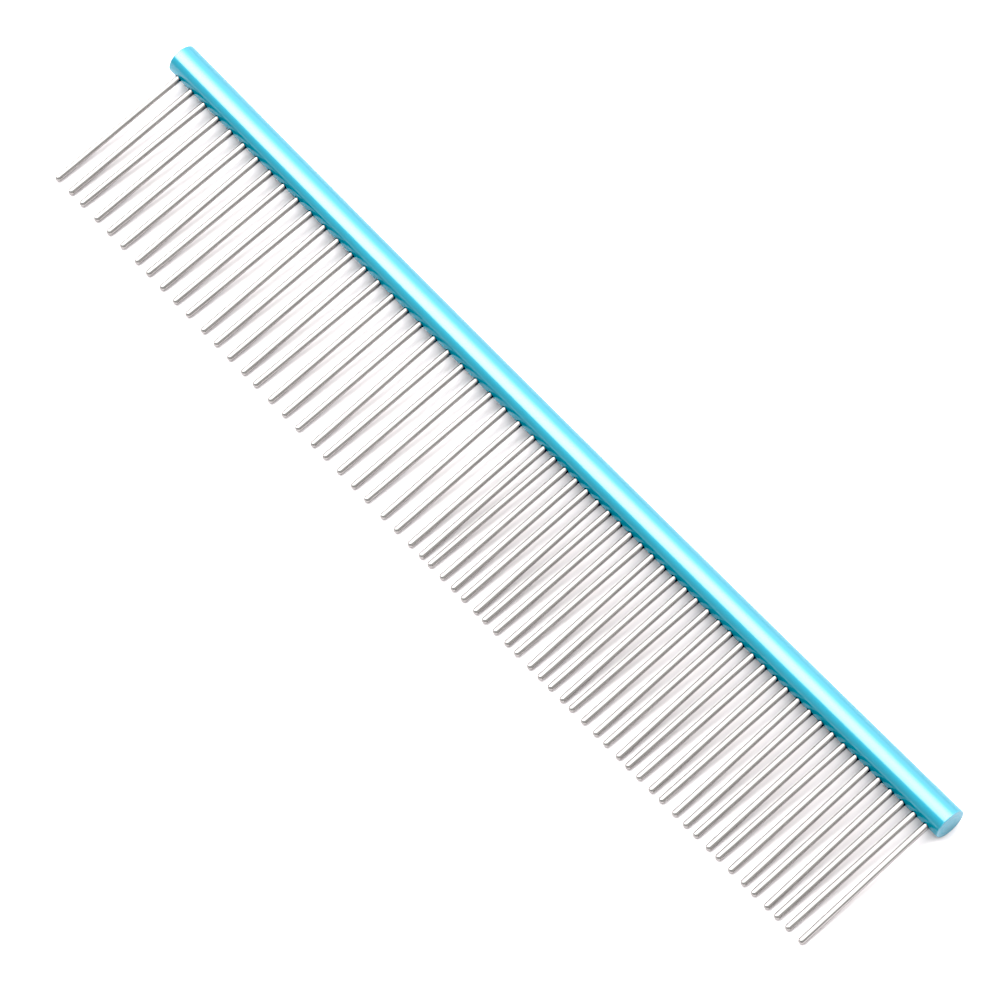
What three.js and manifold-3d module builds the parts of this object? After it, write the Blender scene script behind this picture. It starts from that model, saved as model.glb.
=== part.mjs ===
// A two-pitch grooming comb: a solid round spine with straight wire teeth pressed into blind holes.
// The left half of the row is coarse and the right half is fine.
//
// Units are millimetres and +Z is up. The comb lies on a flat surface, on its spine and its tooth tips.
// +X runs along the spine, coarse half towards -X. The teeth point towards -Y.
// The origin is below the middle of the comb's bounding box, on the surface.

import * as THREE from "three";
import { mergeVertices } from "three/addons/utils/BufferGeometryUtils.js";
import Module from "manifold-3d";

// ---- Driving dimensions ----

const SPINE_LENGTH = 190;
const SPINE_DIAMETER = 5.6;
const SPINE_END_BEVEL = 0.25;
const SPINE_BOW = 0.56; // pressing the teeth in spreads that side of the rod, so its middle bows their way

const TOOTH_DIAMETER = 1.2;
const TOOTH_REACH = 29.8; // from the spine's axis to the tip
const COARSE_GAPS = 26;
const FINE_GAPS = 35;
const HALF_ROW = 92.5; // from the middle tooth to the last tooth, on both sides
const TOOTH_LEAN = THREE.MathUtils.degToRad(0.7); // how far a hand-set tooth leans along the row, at most

const SEAT_DEPTH = 1.0; // how far a tooth's root goes past the spine's axis
const HOLE_CLEARANCE = 0.06; // all round the tooth, in place of the press fit
const HOLE_END_GAP = 0.3; // between the tooth's root and the bottom of its hole

const GROUPED_TEETH = 4; // the last fine teeth, which share one node
const WEB_SIDE = 0.8; // square bar that joins their roots, out of sight inside the spine
const WEB_CLEARANCE = 0.15;

const SPINE_SIDES = 24;
const SPINE_STEPS = 12;
const TOOTH_SIDES = 10;
const TIP_RINGS = 3;

// ---- Derived sizes ----

const SPINE_RADIUS = SPINE_DIAMETER / 2;
const TOOTH_RADIUS = TOOTH_DIAMETER / 2;
const TOOTH_LENGTH = SEAT_DEPTH + TOOTH_REACH;
const COARSE_PITCH = HALF_ROW / COARSE_GAPS;
const FINE_PITCH = HALF_ROW / FINE_GAPS;
const TOOTH_COUNT = COARSE_GAPS + FINE_GAPS + 1;
const FIRST_GROUPED = TOOTH_COUNT - GROUPED_TEETH;

// The spine's axis lies one spine radius up and a tip's centre one tooth radius up: the teeth slope down.
const TOOTH_DROP = Math.asin((SPINE_RADIUS - TOOTH_RADIUS) / (TOOTH_REACH - TOOTH_RADIUS));

// Measured square to the spine, from the back of its ends to the tip of the middle tooth.
const OVERALL_WIDTH = SPINE_RADIUS + SPINE_BOW + TOOTH_REACH * Math.cos(TOOTH_DROP);
const SPINE_END_Y = OVERALL_WIDTH / 2 - SPINE_RADIUS;

const X_AXIS = new THREE.Vector3(1, 0, 0);
const Z_AXIS = new THREE.Vector3(0, 0, 1);

// ---- Materials ----

const anodisedBlue = new THREE.MeshStandardMaterial({ color: 0x35b4d8, metalness: 0.9, roughness: 0.3 });
const polishedSteel = new THREE.MeshStandardMaterial({ color: 0xc9c5c2, metalness: 1.0, roughness: 0.18 });

// ---- The bowed axis of the spine ----

function axisY(x) {
  const share = x / (SPINE_LENGTH / 2);
  return SPINE_END_Y - SPINE_BOW * (1 - share * share);
}

function axisPoint(x) {
  return new THREE.Vector3(x, axisY(x), SPINE_RADIUS);
}

// The angle by which the axis turns away from +X, which is also how far the teeth fan out there.
function fanAngle(x) {
  const half = SPINE_LENGTH / 2;
  return Math.atan((2 * SPINE_BOW * x) / (half * half));
}

// ---- The row of teeth ----

// A hand-set row isn't perfectly regular. Two sine waves give each tooth its own small lean.
function leanOf(index) {
  return TOOTH_LEAN * (0.6 * Math.sin(2.4 * index) + 0.4 * Math.sin(5.3 * index + 1));
}

function toothX(index) {
  const steps = index - COARSE_GAPS;
  return steps <= 0 ? steps * COARSE_PITCH : steps * FINE_PITCH;
}

// Where a tooth crosses the spine's axis, and the unit vector from its root to its tip.
function toothLine(index) {
  const x = toothX(index);
  const angle = fanAngle(x) + leanOf(index);
  const direction = new THREE.Vector3(Math.sin(angle), -Math.cos(angle), -Math.tan(TOOTH_DROP)).normalize();
  return { centre: axisPoint(x), direction };
}

// A frame with its origin at the tooth's root, +Y along the tooth and +X level.
function rootMatrix(index) {
  const { centre, direction } = toothLine(index);
  const level = new THREE.Vector3().crossVectors(direction, Z_AXIS).normalize();
  const upright = new THREE.Vector3().crossVectors(level, direction);
  const root = centre.clone().addScaledVector(direction, -SEAT_DEPTH);
  return new THREE.Matrix4().makeBasis(level, direction, upright).setPosition(root);
}

// ---- Shapes ----

// One wire, along +Y from its square-cut root to its domed tip.
function toothGeometry() {
  const profile = [new THREE.Vector2(0, 0), new THREE.Vector2(TOOTH_RADIUS, 0)];
  const domeBase = TOOTH_LENGTH - TOOTH_RADIUS;
  for (let ring = 0; ring < TIP_RINGS; ring++) {
    const angle = (ring / TIP_RINGS) * (Math.PI / 2);
    const rise = TOOTH_RADIUS * Math.sin(angle);
    profile.push(new THREE.Vector2(TOOTH_RADIUS * Math.cos(angle), domeBase + rise));
  }
  profile.push(new THREE.Vector2(0, TOOTH_LENGTH));
  return new THREE.LatheGeometry(profile, TOOTH_SIDES);
}

// The space that a tooth's hole takes out of the spine, in the frame of the tooth's root.
function holeGeometry() {
  const radius = (TOOTH_RADIUS + HOLE_CLEARANCE) / Math.cos(Math.PI / TOOTH_SIDES);
  const outside = SEAT_DEPTH + 2 * SPINE_RADIUS;
  const profile = [
    new THREE.Vector2(0, -HOLE_END_GAP),
    new THREE.Vector2(radius, -HOLE_END_GAP),
    new THREE.Vector2(radius, outside),
    new THREE.Vector2(0, outside),
  ];
  return new THREE.LatheGeometry(profile, TOOTH_SIDES);
}

// A straight rod along X with bevelled ends, sheared into the bow so that its end faces stay square to X.
function rodGeometry() {
  const half = SPINE_LENGTH / 2;
  const profile = [new THREE.Vector2(0, -half), new THREE.Vector2(SPINE_RADIUS - SPINE_END_BEVEL, -half)];
  for (let step = 0; step <= SPINE_STEPS; step++) {
    const along = (step / SPINE_STEPS) * 2 - 1;
    profile.push(new THREE.Vector2(SPINE_RADIUS, along * (half - SPINE_END_BEVEL)));
  }
  profile.push(new THREE.Vector2(SPINE_RADIUS - SPINE_END_BEVEL, half), new THREE.Vector2(0, half));
  const rod = new THREE.LatheGeometry(profile, SPINE_SIDES);
  rod.rotateZ(-Math.PI / 2);
  const position = rod.getAttribute("position");
  for (let i = 0; i < position.count; i++) {
    const x = position.getX(i);
    position.setXYZ(i, x, position.getY(i) + axisY(x), position.getZ(i) + SPINE_RADIUS);
  }
  return rod;
}

// A square bar from the first to the last grouped tooth, at the depth of their roots.
function webGeometry(clearance) {
  const first = toothLine(FIRST_GROUPED).centre;
  const last = toothLine(TOOTH_COUNT - 1).centre;
  const along = new THREE.Vector3().subVectors(last, first);
  const depth = new THREE.Vector3(0, SEAT_DEPTH - WEB_SIDE / 2, 0);
  const side = WEB_SIDE + 2 * clearance;
  const bar = new THREE.BoxGeometry(along.length() + 2 * clearance, side, side);
  bar.applyQuaternion(new THREE.Quaternion().setFromUnitVectors(X_AXIS, along.clone().normalize()));
  const middle = first.clone().add(last).multiplyScalar(0.5).add(depth);
  return bar.translate(middle.x, middle.y, middle.z);
}

// ---- Cutting and joining ----

const wasm = await Module();
wasm.setup();

function toSolid(geometry) {
  const bare = geometry.clone();
  bare.deleteAttribute("normal");
  bare.deleteAttribute("uv");
  const merged = mergeVertices(bare, 1e-4);
  return new wasm.Manifold(
    new wasm.Mesh({
      numProp: 3,
      vertProperties: new Float32Array(merged.getAttribute("position").array),
      triVerts: new Uint32Array(merged.index.array),
    }),
  );
}

function toGeometry(solid) {
  const mesh = solid.getMesh();
  const geometry = new THREE.BufferGeometry();
  geometry.setAttribute("position", new THREE.BufferAttribute(mesh.vertProperties, 3));
  geometry.setIndex(new THREE.BufferAttribute(mesh.triVerts, 1));
  geometry.computeVertexNormals();
  return geometry;
}

// ---- The assembly ----

const comb = new THREE.Group();

function addPiece(name, geometry, material) {
  const mesh = new THREE.Mesh(geometry, material);
  mesh.name = name;
  comb.add(mesh);
  return mesh;
}

// The coarse row counts from the left end, and the tooth at the middle is its last one.
function toothName(index) {
  const coarse = index <= COARSE_GAPS;
  const number = coarse ? index + 1 : index - COARSE_GAPS;
  return (coarse ? "coarse_tooth_" : "fine_tooth_") + String(number).padStart(2, "0");
}

function addSpine() {
  let solid = toSolid(rodGeometry());
  for (let index = 0; index < TOOTH_COUNT; index++) {
    solid = solid.subtract(toSolid(holeGeometry().applyMatrix4(rootMatrix(index))));
  }
  solid = solid.subtract(toSolid(webGeometry(WEB_CLEARANCE)));
  addPiece("spine", toGeometry(solid), anodisedBlue);
}

function addSingleTeeth() {
  for (let index = 0; index < FIRST_GROUPED; index++) {
    const tooth = addPiece(toothName(index), toothGeometry(), polishedSteel);
    tooth.applyMatrix4(rootMatrix(index));
  }
}

function addGroupedTeeth() {
  let solid = toSolid(webGeometry(0));
  for (let index = FIRST_GROUPED; index < TOOTH_COUNT; index++) {
    solid = solid.add(toSolid(toothGeometry().applyMatrix4(rootMatrix(index))));
  }
  addPiece("fine_teeth_32_to_35", toGeometry(solid), polishedSteel);
}

addSpine();
addSingleTeeth();
addGroupedTeeth();

export default comb;
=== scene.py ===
"""The looks of the two-pitch grooming comb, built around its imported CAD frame. Units are metres.

The spine is rebuilt as one fine mesh with a rounded mouth at each hole, and each tooth is a fine wire
of its own, placed on the line of its CAD node.
"""

import math

import bmesh
import bpy
import numpy as np
from mathutils import Matrix, Vector


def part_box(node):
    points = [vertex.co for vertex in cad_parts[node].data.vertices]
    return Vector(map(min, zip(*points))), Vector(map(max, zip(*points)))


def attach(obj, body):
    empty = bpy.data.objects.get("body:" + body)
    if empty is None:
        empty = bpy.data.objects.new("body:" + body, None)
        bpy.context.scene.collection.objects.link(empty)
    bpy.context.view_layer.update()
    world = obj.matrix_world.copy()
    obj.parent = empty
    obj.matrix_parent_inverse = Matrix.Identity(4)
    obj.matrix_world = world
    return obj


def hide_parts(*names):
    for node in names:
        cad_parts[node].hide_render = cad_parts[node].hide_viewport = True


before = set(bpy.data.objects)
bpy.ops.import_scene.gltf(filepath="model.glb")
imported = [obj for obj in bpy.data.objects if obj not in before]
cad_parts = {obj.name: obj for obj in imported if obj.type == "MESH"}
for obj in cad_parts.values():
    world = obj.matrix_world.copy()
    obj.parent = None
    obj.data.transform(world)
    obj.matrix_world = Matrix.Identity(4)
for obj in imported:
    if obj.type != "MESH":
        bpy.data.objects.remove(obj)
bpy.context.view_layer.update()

MM = 0.001

# ---- Sizes that only the fine meshes need ----

END_BEVEL = 0.15 * MM  # at the rim of each end face
BEVEL_STEPS = 5
FACE_RINGS = (0.97, 0.8, 0.55, 0.3, 0.1)  # rings on an end face, as shares of its radius
EDGE_STRIP = 0.06 * MM  # narrow strip beside a bevel, which keeps its shading off the long side

PRESS_GAP = 0.03 * MM  # thin dark ring between a pressed-in wire and its hole
HOLE_END_GAP = 0.3 * MM
MOUTH_ROUND = 0.1 * MM  # rounded edge of a hole's mouth
MOUTH_STEPS = 3
CELL_STEPS = 8  # faces along each side of the square patch round a hole
CELL_HALF_ANGLE = math.radians(20)  # half the patch's width, round the spine
CELL_CORNER = math.radians(-135)  # the patch's first corner, as an angle round its tooth
CELL_SHARES = (0.7, 0.4, 0.14)  # rings from the patch's edge, at 1, to the mouth, at 0
BACK_STEPS = 72  # faces round the rest of the spine

WIRE_SIDES = 40
WIRE_RUNS = 10  # lengthwise divisions of a wire
DOME_STEPS = 9
ROOT_CHAMFER = 0.12 * MM
WIRE_SPIN = math.radians(137.5)  # from each wire to the next

# ---- The frame's own measures ----

spine_low, spine_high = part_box("spine")
HALF_LENGTH = spine_high.x
SPINE_RADIUS = (spine_high.z - spine_low.z) / 2
END_Y = spine_high.y - SPINE_RADIUS
BOW = END_Y - (spine_low.y + SPINE_RADIUS)
AXIS_Z = spine_low.z + SPINE_RADIUS


def axis_y(x):
    """The spine's axis bows towards the teeth in its middle."""
    return END_Y - BOW * (1 - (x / HALF_LENGTH) ** 2)


# ---- Tooth lines, read from the CAD teeth ----

TIP_ZONE = 2 * MM  # only domes lie this near to the outer end of a node
TIP_SPACING = 0.5 * MM  # points further apart than this along X are on different tips


class ToothLine:
    """One tooth: where it crosses the spine's axis, the way it points, and how far it reaches."""

    def __init__(self, node, dome):
        # The points of a domed tip lie on one sphere, whose centre is on the tooth's own line.
        points = np.array([tuple(p) for p in dome])
        rows = np.hstack([2 * points, np.ones((len(points), 1))])
        solved = np.linalg.lstsq(rows, (points**2).sum(axis=1), rcond=None)[0]
        base = Vector(solved[:3])
        apex = min(dome, key=lambda p: p.y)
        self.node = node
        self.radius = (apex - base).length
        self.direction = (apex - base).normalized()
        back = (axis_y(base.x) - base.y) / -self.direction.y
        self.centre = base - self.direction * back
        self.reach = back + self.radius
        level = Vector((1, 0, 0))
        self.side = (level - self.direction * level.dot(self.direction)).normalized()
        self.down = self.side.cross(self.direction)

    def at(self, distance, radius=0.0, angle=0.0):
        """A point along the tooth's line, or off it by a radius at an angle from level towards down."""
        off = self.side * math.cos(angle) + self.down * math.sin(angle)
        return self.centre + self.direction * distance + off * radius


def tooth_lines(node):
    """The teeth of one CAD node, from the domes at their tips, the only points so far out."""
    points = [v.co.copy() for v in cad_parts[node].data.vertices]
    far = min(p.y for p in points) + TIP_ZONE
    tips = sorted((p for p in points if p.y < far), key=lambda p: p.x)
    domes = [[tips[0]]]
    for previous, point in zip(tips, tips[1:]):
        if point.x - previous.x > TIP_SPACING:
            domes.append([])
        domes[-1].append(point)
    return [ToothLine(node, dome) for dome in domes]


teeth = [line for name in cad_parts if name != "spine" for line in tooth_lines(name)]
teeth.sort(key=lambda line: line.centre.x)
SEAT_DEPTH = (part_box(teeth[0].node)[1].y - teeth[0].centre.y) / -teeth[0].direction.y


# ---- Meshes ----


class MeshMaker:
    """Collects points and faces, with the three masks that the spine's material reads at each point."""

    def __init__(self):
        self.points = []
        self.faces = []
        self.masks = {"worn": [], "turned": [], "mouth": []}

    def point(self, place, **masks):
        self.points.append(tuple(place))
        for label, values in self.masks.items():
            values.append(masks.get(label, 0.0))
        return len(self.points) - 1

    def band(self, first, second):
        """Faces between two closed rings with the same number of points."""
        count = len(first)
        for i in range(count):
            j = (i + 1) % count
            self.faces.append((first[i], first[j], second[j], second[i]))

    def fan(self, ring, centre):
        count = len(ring)
        for i in range(count):
            self.faces.append((ring[i], ring[(i + 1) % count], centre))

    def build(self, name):
        mesh = bpy.data.meshes.new(name)
        mesh.from_pydata(self.points, [], self.faces)
        for label, values in self.masks.items():
            mesh.attributes.new(label, "FLOAT", "POINT").data.foreach_set("value", values)
        work = bmesh.new()
        work.from_mesh(mesh)
        bmesh.ops.recalc_face_normals(work, faces=work.faces)
        work.to_mesh(mesh)
        work.free()
        mesh.shade_smooth()
        piece = bpy.data.objects.new(name, mesh)
        bpy.context.scene.collection.objects.link(piece)
        return piece


# ---- The spine ----

middle_tooth = teeth[len(teeth) // 2]
TOOTH_ANGLE = math.atan2(-middle_tooth.direction.z, -middle_tooth.direction.y)


def spine_point(x, angle, radius=SPINE_RADIUS):
    """A point round the spine's axis. Angle 0 faces -Y, and angles go down from there."""
    return Vector((x, axis_y(x) - radius * math.cos(angle), AXIS_Z - radius * math.sin(angle)))


def ring_angles():
    band = [TOOTH_ANGLE + CELL_HALF_ANGLE * (2 * i / CELL_STEPS - 1) for i in range(CELL_STEPS)]
    start = TOOTH_ANGLE + CELL_HALF_ANGLE
    rest = 2 * math.pi - 2 * CELL_HALF_ANGLE
    return band + [start + rest * i / BACK_STEPS for i in range(BACK_STEPS)]


def where_it_leaves(tooth, radius, angle):
    """How far along a tooth's line, at this radius and angle off it, the spine's surface lies."""
    distance = SPINE_RADIUS
    for _ in range(3):
        start = tooth.at(0, radius, angle)
        y = start.y - axis_y(tooth.at(distance, radius, angle).x)
        z = start.z - AXIS_Z
        a = tooth.direction.y**2 + tooth.direction.z**2
        b = y * tooth.direction.y + z * tooth.direction.z
        c = y * y + z * z - SPINE_RADIUS**2
        distance = (-b + math.sqrt(b * b - a * c)) / a
    return distance


def cell_edges():
    """The x at which each tooth's patch starts and ends."""
    leaves = [tooth.at(SPINE_RADIUS).x for tooth in teeth]
    middles = [(a + b) / 2 for a, b in zip(leaves, leaves[1:])]
    return [2 * leaves[0] - middles[0], *middles, 2 * leaves[-1] - middles[-1]]


def add_hole(maker, tooth, outline, xs, angles):
    """The patch round one hole, from its square outline to its rounded mouth, and the hole's inside."""
    count = len(outline)
    hole = tooth.radius + PRESS_GAP
    turns = [CELL_CORNER + 2 * math.pi * j / count for j in range(count)]
    leave = [where_it_leaves(tooth, hole + MOUTH_ROUND, turn) for turn in turns]
    mouth = [tooth.at(t, hole + MOUTH_ROUND, turn) for t, turn in zip(leave, turns)]
    ring = outline
    for share in CELL_SHARES:
        places = []
        for j, rim in enumerate(mouth):
            rim_angle = math.atan2(AXIS_Z - rim.z, axis_y(rim.x) - rim.y)
            x = rim.x + (xs[j] - rim.x) * share
            places.append(spine_point(x, rim_angle + (angles[j] - rim_angle) * share))
        inner = [maker.point(place) for place in places]
        maker.band(ring, inner)
        ring = inner
    # the mouth and the hole's inside carry the mouth mask, where the spine's material paints shade
    for step in range(MOUTH_STEPS + 1):
        bend = math.radians(90) * step / MOUTH_STEPS
        radius = hole + MOUTH_ROUND * (1 - math.sin(bend))
        sunk = MOUTH_ROUND * (1 - math.cos(bend))
        inner = []
        for turn in turns:
            distance = where_it_leaves(tooth, radius, turn) - sunk
            inner.append(maker.point(tooth.at(distance, radius, turn), mouth=1.0))
        maker.band(ring, inner)
        ring = inner
    bottom = -SEAT_DEPTH - HOLE_END_GAP
    inner = [maker.point(tooth.at(bottom, hole, turn), mouth=1.0) for turn in turns]
    maker.band(ring, inner)
    maker.fan(inner, maker.point(tooth.at(bottom), mouth=1.0))


def add_end(maker, ring, sign, angles):
    """The rounded rim and the flat end face, inwards from the last ring of the spine's long side."""
    for step in range(1, BEVEL_STEPS + 1):
        bend = math.radians(90) * step / BEVEL_STEPS
        x = sign * (HALF_LENGTH - END_BEVEL * (1 - math.sin(bend)))
        radius = SPINE_RADIUS - END_BEVEL * (1 - math.cos(bend))
        inner = [maker.point(spine_point(x, a, radius), worn=1.0, turned=1.0) for a in angles]
        maker.band(ring, inner)
        ring = inner
    for share in FACE_RINGS:
        radius = (SPINE_RADIUS - END_BEVEL) * share
        x = sign * HALF_LENGTH
        inner = [maker.point(spine_point(x, a, radius), turned=1.0) for a in angles]
        maker.band(ring, inner)
        ring = inner
    maker.fan(ring, maker.point(spine_point(sign * HALF_LENGTH, 0, 0), turned=1.0))


def make_spine():
    maker = MeshMaker()
    angles = ring_angles()
    rows = len(angles)
    edges = cell_edges()
    side_end = HALF_LENGTH - END_BEVEL
    columns = [-side_end, -side_end + EDGE_STRIP]
    first_cell = len(columns)
    for start, end in zip(edges, edges[1:]):
        columns += [start + (end - start) * i / CELL_STEPS for i in range(CELL_STEPS)]
    last_cell = len(columns)
    columns += [edges[-1], side_end - EDGE_STRIP, side_end]

    grid = {}

    def at(column, row):
        key = (column, row % rows)
        if key not in grid:
            worn = 1.0 if column in (0, len(columns) - 1) else 0.0
            grid[key] = maker.point(spine_point(columns[column], angles[key[1]]), worn=worn)
        return grid[key]

    for column in range(len(columns) - 1):
        in_cell = first_cell <= column < last_cell
        for row in range(CELL_STEPS if in_cell else 0, rows):
            corners = ((column, row), (column + 1, row), (column + 1, row + 1), (column, row + 1))
            maker.faces.append(tuple(at(*corner) for corner in corners))
    for index, tooth in enumerate(teeth):
        left = first_cell + index * CELL_STEPS
        right = left + CELL_STEPS
        steps = range(CELL_STEPS)
        keys = [(left + i, 0) for i in steps] + [(right, i) for i in steps]
        keys += [(right - i, CELL_STEPS) for i in steps] + [(left, CELL_STEPS - i) for i in steps]
        outline = [at(*key) for key in keys]
        xs = [columns[column] for column, _ in keys]
        add_hole(maker, tooth, outline, xs, [angles[row] for _, row in keys])
    add_end(maker, [at(0, row) for row in range(rows)], -1, angles)
    add_end(maker, [at(len(columns) - 1, row) for row in range(rows)], 1, angles)
    return maker.build("spine_rod")


# ---- The wires ----


def wire_profile(tooth):
    """(radius, distance) pairs from a wire's root to the base of its dome and over it."""
    wall_start = -SEAT_DEPTH + ROOT_CHAMFER
    dome_start = tooth.reach - tooth.radius
    profile = [(tooth.radius - ROOT_CHAMFER, -SEAT_DEPTH)]
    for run in range(WIRE_RUNS + 1):
        profile.append((tooth.radius, wall_start + (dome_start - wall_start) * run / WIRE_RUNS))
    for step in range(1, DOME_STEPS):
        bend = math.radians(90) * step / DOME_STEPS
        profile.append((tooth.radius * math.cos(bend), dome_start + tooth.radius * math.sin(bend)))
    return profile


def make_wire(tooth, name, spin):
    """One wire in its own frame, with Z along it, so that its drawing lines run its way.

    Each is spun about its length by its own angle, so that no two show the same lines.
    """
    maker = MeshMaker()
    turns = [2 * math.pi * i / WIRE_SIDES for i in range(WIRE_SIDES)]
    rings = []
    for radius, distance in wire_profile(tooth):
        ring = [(radius * math.cos(t), radius * math.sin(t), distance) for t in turns]
        rings.append([maker.point(place) for place in ring])
    for first, second in zip(rings, rings[1:]):
        maker.band(first, second)
    maker.fan(rings[0], maker.point((0, 0, -SEAT_DEPTH)))
    maker.fan(rings[-1], maker.point((0, 0, tooth.reach)))
    piece = maker.build(name)
    axes = Matrix((tooth.side, -tooth.down, tooth.direction)).transposed()
    piece.matrix_world = Matrix.Translation(tooth.centre) @ axes.to_4x4() @ Matrix.Rotation(spin, 4, "Z")
    return piece


# ---- Materials ----


class Nodes:
    """Builds a node tree. Inputs may be numbers, colours or other nodes' outputs."""

    def __init__(self, owner):
        owner.use_nodes = True
        self.tree = owner.node_tree
        self.tree.nodes.clear()

    def add(self, kind, inputs, output=0, **settings):
        node = self.tree.nodes.new("ShaderNode" + kind)
        for name, value in settings.items():
            setattr(node, name, value)
        for name, value in inputs.items():
            if isinstance(value, bpy.types.NodeSocket):
                self.tree.links.new(value, node.inputs[name])
            else:
                node.inputs[name].default_value = value
        return node.outputs[output] if node.outputs else node

    def math(self, operation, *values):
        return self.add("Math", dict(enumerate(values)), operation=operation)

    def noise(self, scale, detail=2.0, where=None):
        """Noise over the object's own coordinates in metres, times a scale on each axis."""
        where = where or self.add("TexCoord", {}, output="Object")
        place = self.add("Mapping", {"Vector": where, "Scale": scale})
        return self.add("TexNoise", {"Vector": place, "Scale": 1.0, "Detail": detail})

    def face_radius(self):
        """The distance from the middle of the spine's end faces, seen along X."""
        where = self.add("TexCoord", {}, output="Object")
        flat = self.add("VectorMath", {0: where, 1: (0.0, 1.0, 1.0)}, operation="MULTIPLY")
        middle = (0.0, END_Y, AXIS_Z)
        return self.add("VectorMath", {0: flat, 1: middle}, output="Value", operation="DISTANCE")

    def spread(self, value, low, high, start=0.3, end=0.7):
        """value from start..end moved to low..high, and held there."""
        inputs = {"Value": value, "From Min": start, "From Max": end, "To Min": low, "To Max": high}
        return self.add("MapRange", inputs)

    def mask(self, name):
        return self.add("Attribute", {}, output="Fac", attribute_name=name)

    def mix(self, factor, first, second):
        node = self.tree.nodes.new("ShaderNodeMix")
        node.data_type = "RGBA"
        for socket, value in ((0, factor), (6, first), (7, second)):
            if isinstance(value, bpy.types.NodeSocket):
                self.tree.links.new(value, node.inputs[socket])
            else:
                node.inputs[socket].default_value = value
        return node.outputs[2]

    def bump(self, height, distance, strength=1.0, under=None):
        inputs = {"Height": height, "Distance": distance, "Strength": strength}
        if under is not None:
            inputs["Normal"] = under
        return self.add("Bump", inputs)

    def surface(self, inputs):
        shader = self.add("BsdfPrincipled", inputs)
        self.add("OutputMaterial", {"Surface": shader})


def grey(value):
    return (value, value, value, 1.0)


DYE = (0.012, 0.246, 0.33, 1.0)
DYE_PALE = (0.022, 0.278, 0.366, 1.0)
DYE_DEEP = (0.008, 0.221, 0.301, 1.0)
# painted shade: the dark tone laid into the mouths of the holes
MOUTH_PAINTED_SHADE = (0.004, 0.05, 0.07, 1.0)
DYE_GRAZING = (0.2, 0.85, 1.0, 1.0)  # the tint of reflections seen edge-on
BARE_EDGE = (0.08, 0.36, 0.46, 1.0)
END_PALE = (0.135, 0.272, 0.352, 1.0)  # the rings on the end faces
MOUTH_SHADE = 0.35  # how much shade is painted into the mouths of the holes
RINGS_PER_METRE = 3000  # turning marks on the end faces
GRAIN_RELIEF = 0.004 * MM
STREAK_RELIEF = 0.006 * MM
RING_RELIEF = 0.03 * MM

STEEL_BRIGHT = (0.388, 0.378, 0.369, 1.0)
STEEL_DULL = (0.344, 0.335, 0.327, 1.0)
STEEL_LINE = (0.302, 0.293, 0.286, 1.0)
# painted shade at the roots of the wires
ROOT_PAINTED_SHADE = (0.11, 0.11, 0.115, 1.0)
STEEL_GRAZING = (0.6, 0.6, 0.6, 1.0)
ROOT_RING = 0.11 * MM  # painted shade: a dark ring round a wire where it leaves the spine
ROOT_SHADE = 1.2 * MM  # the stretch next to it, with a little painted shade
LINE_RELIEF = 0.002 * MM


def anodised_material():
    """Blue dye in a fine satin metal under a clear glossy layer, with pale turning rings on the end faces and
    painted shade in the mouths of the holes.
    """
    material = bpy.data.materials.new("anodised_spine")
    n = Nodes(material)
    clouds = n.noise((45, 160, 160), detail=3)
    streaks = n.noise((30, 2600, 2600), detail=3)
    grain = n.noise((9000, 14000, 14000), detail=2)
    tone = n.mix(n.spread(clouds, 0.0, 0.6), DYE, DYE_DEEP)
    tone = n.mix(n.spread(streaks, 0.0, 0.35), tone, DYE_PALE)
    worn = n.math("MULTIPLY", n.mask("worn"), n.spread(n.noise((1500, 2200, 2200)), 0.1, 0.6))
    tone = n.mix(worn, tone, BARE_EDGE)
    # painted shade: the mouths of the holes are darkened
    tone = n.mix(n.math("MULTIPLY", n.mask("mouth"), MOUTH_SHADE), tone, MOUTH_PAINTED_SHADE)
    turned = n.mask("turned")
    steps = n.math("MULTIPLY", n.face_radius(), RINGS_PER_METRE)
    rings = n.add("TexNoise", {"W": steps, "Scale": 1.0, "Detail": 2.0}, noise_dimensions="1D")
    tone = n.mix(n.math("MULTIPLY", turned, n.spread(rings, 0.3, 0.9)), tone, END_PALE)
    rough = n.math("ADD", n.spread(streaks, 0.63, 0.67), n.spread(grain, -0.015, 0.015))
    relief = n.bump(grain, GRAIN_RELIEF, 0.25)
    relief = n.bump(streaks, STREAK_RELIEF, 0.3, relief)
    relief = n.bump(n.math("MULTIPLY", turned, rings), RING_RELIEF, 1.0, relief)
    n.surface({
        "Base Color": tone, "Metallic": 1.0, "Roughness": rough, "Normal": relief,
        "Specular Tint": DYE_GRAZING, "Coat Weight": 0.7, "Coat Roughness": 0.13, "Coat IOR": 2.02,
    })
    return material


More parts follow.
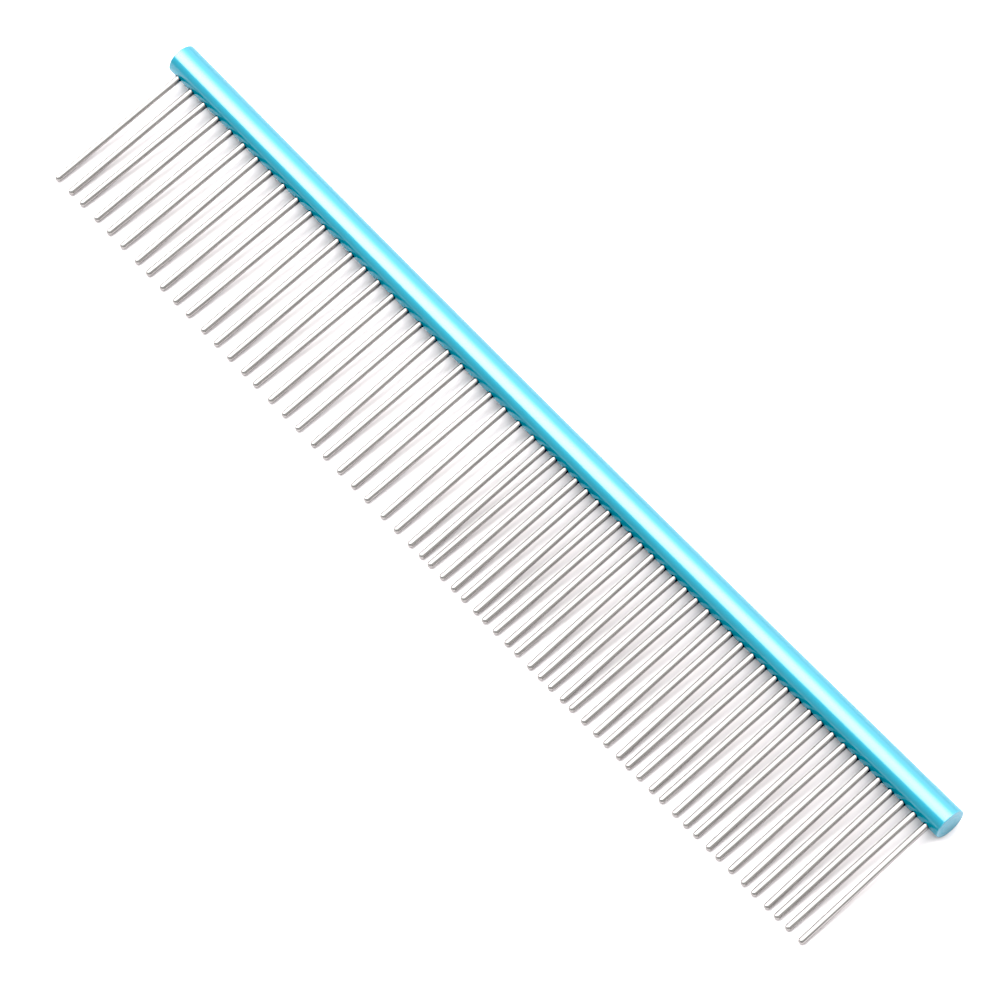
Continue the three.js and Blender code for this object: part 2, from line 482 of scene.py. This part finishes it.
def steel_material():
    """Drawn and polished wire, with shade painted where it enters the spine. Z runs along each wire."""
    material = bpy.data.materials.new("drawn_steel")
    n = Nodes(material)
    place = n.add("NewGeometry", {}, output="Position")
    lines = n.noise((7000, 7000, 60), detail=3)
    patches = n.noise((350, 160, 350), detail=3, where=place)
    tone = n.mix(n.spread(patches, 0.0, 1.0), STEEL_DULL, STEEL_BRIGHT)
    tone = n.mix(n.spread(lines, 0.0, 0.25), tone, STEEL_LINE)
    own = n.add("TexCoord", {}, output="Object")
    along_wire = n.add("SeparateXYZ", {"Vector": own}, output="Z")
    shaded = n.spread(along_wire, 0.45, 0.0, SPINE_RADIUS, SPINE_RADIUS + ROOT_SHADE)
    ring = n.spread(along_wire, 1.0, 0.0, SPINE_RADIUS + 0.3 * ROOT_RING, SPINE_RADIUS + ROOT_RING)
    # painted shade: the wire darkened at its root and along the stretch next to it
    tone = n.mix(n.math("MAXIMUM", shaded, ring), tone, ROOT_PAINTED_SHADE)
    rough = n.math("ADD", n.spread(lines, 0.06, 0.09), n.spread(patches, 0.0, 0.02))
    relief = n.bump(lines, LINE_RELIEF, 0.1)
    n.surface({
        "Base Color": tone, "Metallic": 1.0, "Roughness": rough, "Normal": relief,
        "Specular Tint": STEEL_GRAZING,
    })
    return material


FLOOR_PALE = (0.69, 0.662, 0.668, 1.0)
FLOOR_DEEP = (0.68, 0.652, 0.658, 1.0)


def floor_material():
    material = bpy.data.materials.new("pale_floor")
    n = Nodes(material)
    mottle = n.noise((60, 60, 60), detail=4)
    tone = n.mix(n.spread(mottle, 0.0, 1.0), FLOOR_DEEP, FLOOR_PALE)
    n.surface({"Base Color": tone, "Roughness": 0.6, "Specular IOR Level": 0.2})
    return material


# ---- Building and placing the pieces ----

anodised = anodised_material()
steel = steel_material()

spine = make_spine()
spine.data.materials.append(anodised)
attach(spine, "root")
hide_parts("spine")

coarse_count = sum(tooth.node.startswith("coarse") for tooth in teeth)
for index, tooth in enumerate(teeth):
    coarse = index < coarse_count
    number = index + 1 if coarse else index + 1 - coarse_count
    row = "coarse" if coarse else "fine"
    wire = make_wire(tooth, f"{row}_wire_{number:02d}", index * WIRE_SPIN)
    wire.data.materials.append(steel)
    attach(wire, "root")
    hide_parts(tooth.node)

# ---- The floor ----

FLOOR_HALF = 6.0
FLOOR_DROP = 0.01 * MM

floor_mesh = bpy.data.meshes.new("floor")
work = bmesh.new()
bmesh.ops.create_grid(work, x_segments=1, y_segments=1, size=FLOOR_HALF)
work.to_mesh(floor_mesh)
work.free()
floor = bpy.data.objects.new("floor", floor_mesh)
floor.location.z = -FLOOR_DROP
floor_mesh.materials.append(floor_material())
bpy.context.scene.collection.objects.link(floor)

# ---- Studio light: one wide soft panel overhead, in a pale room ----

PANEL_LEVEL = 2.6
PANEL_EDGE = 0.318  # slope at which the panel ends, on the side that EDGE_WAY points to
EDGE_WAY = (0.527, -0.85)
EDGE_BLUR = 0.10
CORE_LEVEL = 8.2  # added where the panel is brightest
CORE_PLACE = (-0.56, -0.20)  # x/z and y/z of that place
CORE_WAY = (0.392, 0.920)  # the brightest part is longer this way
CORE_LENGTH = 0.76
CORE_WIDTH = 0.265
ROOM_LEVEL = 0.96
ROOM_TILT = (-0.06, -0.06)  # added towards +X and +Y, so the room is a little darker there
HORIZON_LEVEL = 1.0
LEAST_HEIGHT = 0.03  # slopes are taken as if no direction were lower than this
HORIZON_RISE = (0.01, 0.12)  # z at which the horizon's level starts and stops turning into the room's


def along(n, x, y, way):
    """How far (x, y) goes in a direction of the plane."""
    return n.math("ADD", n.math("MULTIPLY", x, way[0]), n.math("MULTIPLY", y, way[1]))


def smooth(n, value, start, end):
    """An even step from 0 where value is start to 1 where it is end."""
    inputs = {"Value": value, "From Min": start, "From Max": end}
    return n.add("MapRange", inputs, interpolation_type="SMOOTHSTEP")


def crossfade(n, share, first, second):
    """first where share is 0 and second where it is 1."""
    return n.math("MULTIPLY_ADD", share, n.math("SUBTRACT", second, first), first)


def studio_world():
    world = bpy.data.worlds.new("studio")
    bpy.context.scene.world = world
    n = Nodes(world)
    where = n.add("TexCoord", {}, output="Generated")
    x, y, z = (n.add("SeparateXYZ", {"Vector": where}, output=i) for i in range(3))
    height = n.math("MAXIMUM", z, LEAST_HEIGHT)
    slope_x = n.math("DIVIDE", x, height)
    slope_y = n.math("DIVIDE", y, height)
    edge = along(n, slope_x, slope_y, EDGE_WAY)
    inside = smooth(n, edge, PANEL_EDGE + EDGE_BLUR, PANEL_EDGE - EDGE_BLUR)
    off_x = n.math("SUBTRACT", slope_x, CORE_PLACE[0])
    off_y = n.math("SUBTRACT", slope_y, CORE_PLACE[1])
    long = n.math("DIVIDE", along(n, off_x, off_y, CORE_WAY), CORE_LENGTH)
    wide = n.math("DIVIDE", along(n, off_x, off_y, (CORE_WAY[1], -CORE_WAY[0])), CORE_WIDTH)
    far = n.math("MULTIPLY_ADD", long, long, n.math("MULTIPLY", wide, wide))
    core = n.math("EXPONENT", n.math("MULTIPLY", far, -0.5))
    panel = n.math("MULTIPLY_ADD", core, CORE_LEVEL, PANEL_LEVEL)
    room = n.math("ADD", along(n, x, y, ROOM_TILT), ROOM_LEVEL)
    level = crossfade(n, inside, room, panel)
    level = crossfade(n, smooth(n, z, *HORIZON_RISE), HORIZON_LEVEL, level)
    light = n.add("Background", {"Color": grey(1.0), "Strength": level})
    n.add("OutputWorld", {"Surface": light})


studio_world()

# ---- Camera ----

CAMERA_LENS = 182.58
CAMERA_PLACE = (0.31957, -0.18032, 0.73213)
CAMERA_RIGHT = (0.64853, 0.75536, -0.09403)
CAMERA_UP = (-0.65578, 0.61716, 0.43482)
CAMERA_BACK = (0.38648, -0.22033, 0.89560)

camera_data = bpy.data.cameras.new("camera")
camera_data.sensor_width = 36.0
camera_data.lens = CAMERA_LENS
camera_data.clip_start = 0.01
camera_data.clip_end = 50.0
camera = bpy.data.objects.new("camera", camera_data)
camera_axes = Matrix((CAMERA_RIGHT, CAMERA_UP, CAMERA_BACK)).transposed().to_4x4()
camera.matrix_world = Matrix.Translation(CAMERA_PLACE) @ camera_axes
bpy.context.scene.collection.objects.link(camera)
bpy.context.scene.camera = camera

# ---- Picture tone: a slightly raised black point ----

BLACK_POINT = 0.06

view = bpy.context.scene.view_settings
view.view_transform = "Standard"
view.use_curve_mapping = True
view.curve_mapping.black_level = (BLACK_POINT,) * 3
view.curve_mapping.update()
